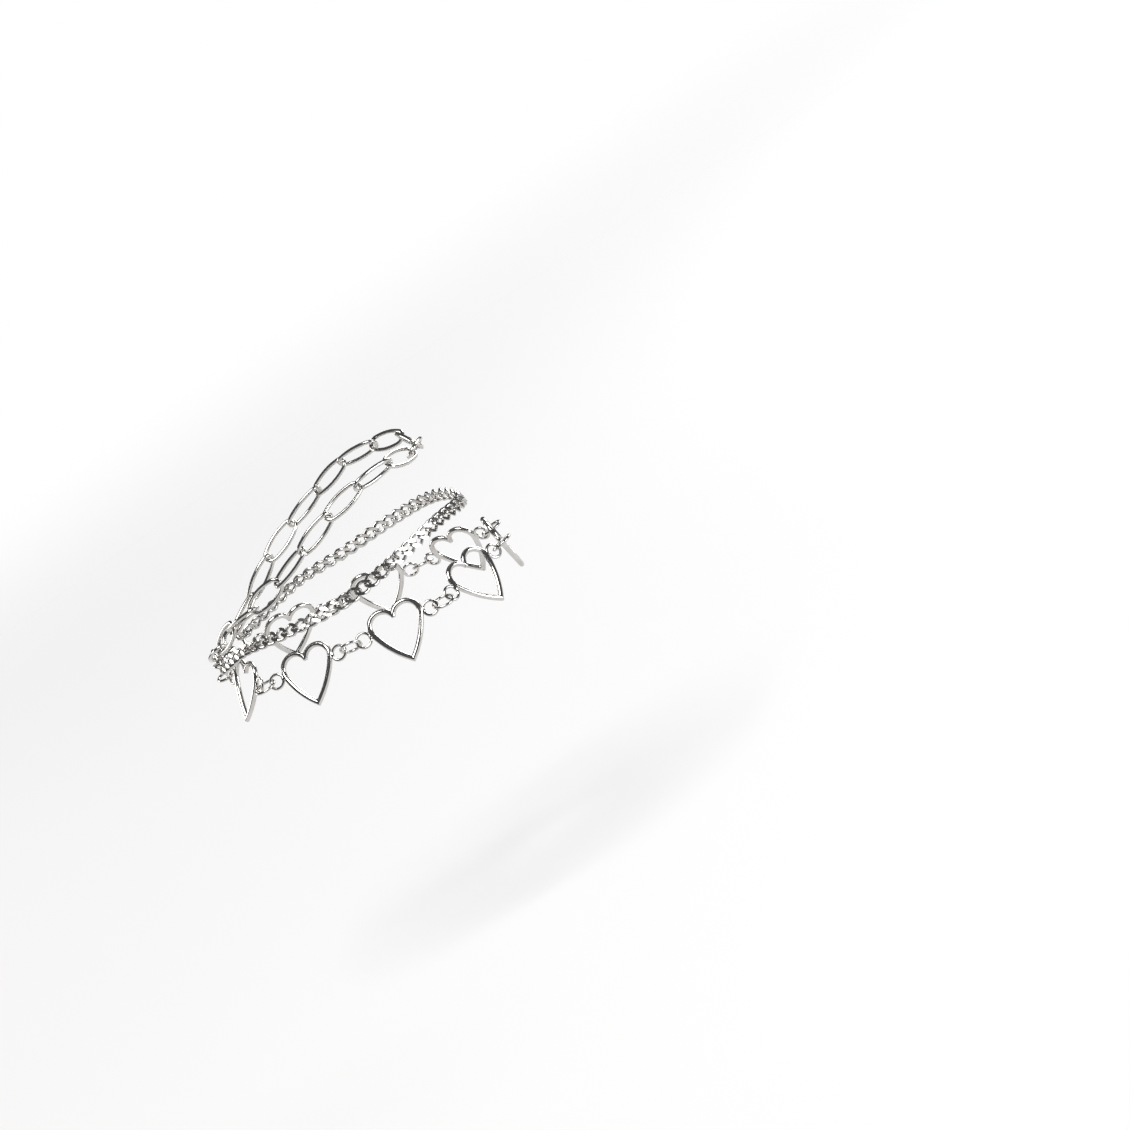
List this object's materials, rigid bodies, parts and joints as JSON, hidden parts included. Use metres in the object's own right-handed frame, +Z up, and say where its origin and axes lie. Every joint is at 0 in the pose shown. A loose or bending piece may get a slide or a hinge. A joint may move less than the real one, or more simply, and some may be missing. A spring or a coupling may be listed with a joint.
{
  "type": "charm anklet",
  "caption": "Layered chain anklet: long oval links above, a flat curb chain in the middle and open wire hearts joined by rings below, gathered into one clasp at the back.",
  "frame": {"origin": "middle of the hollow that the ankle fills, level with the middle strand", "axes": "+Z up the leg, +X towards the shin, so the clasp lies on the -X side; -Y is the outer side with the hearts that show first"},
  "size_m": [0.0895, 0.0724, 0.0499],
  "materials": {
    "heart_metal": "polished",
    "oval_metal": "polished",
    "curb_metal": "polished",
    "ring_metal": "polished"
  },
  "bodies": {
    "root": {"heart_1": "heart_metal", "heart_2": "heart_metal", "heart_3": "heart_metal", "heart_4": "heart_metal", "heart_5": "heart_metal", "heart_6": "heart_metal", "heart_7": "heart_metal", "heart_8": "heart_metal", "heart_ring_1": "ring_metal", "heart_ring_2": "ring_metal", "heart_ring_3": "ring_metal", "heart_ring_4": "ring_metal", "heart_ring_5": "ring_metal", "heart_ring_6": "ring_metal", "heart_ring_7": "ring_metal", "heart_ring_8": "ring_metal", "heart_ring_9": "ring_metal", "oval_link_1": "oval_metal", "oval_link_2": "oval_metal", "oval_link_3": "oval_metal", "oval_link_4": "oval_metal", "oval_link_5": "oval_metal", "oval_link_6": "oval_metal", "oval_link_7": "oval_metal", "oval_link_8": "oval_metal", "oval_link_9": "oval_metal", "oval_link_10": "oval_metal", "oval_link_11": "oval_metal", "oval_link_12": "oval_metal", "oval_link_13": "oval_metal", "oval_link_14": "oval_metal", "oval_link_15": "oval_metal", "oval_link_16": "oval_metal", "oval_link_17": "oval_metal", "oval_link_18": "oval_metal", "curb_chain": "curb_metal", "curb_ring_1": "ring_metal", "curb_ring_2": "ring_metal", "end_ring_1": "ring_metal", "end_ring_2": "ring_metal", "clasp": "ring_metal"}
  },
  "joints": []
}
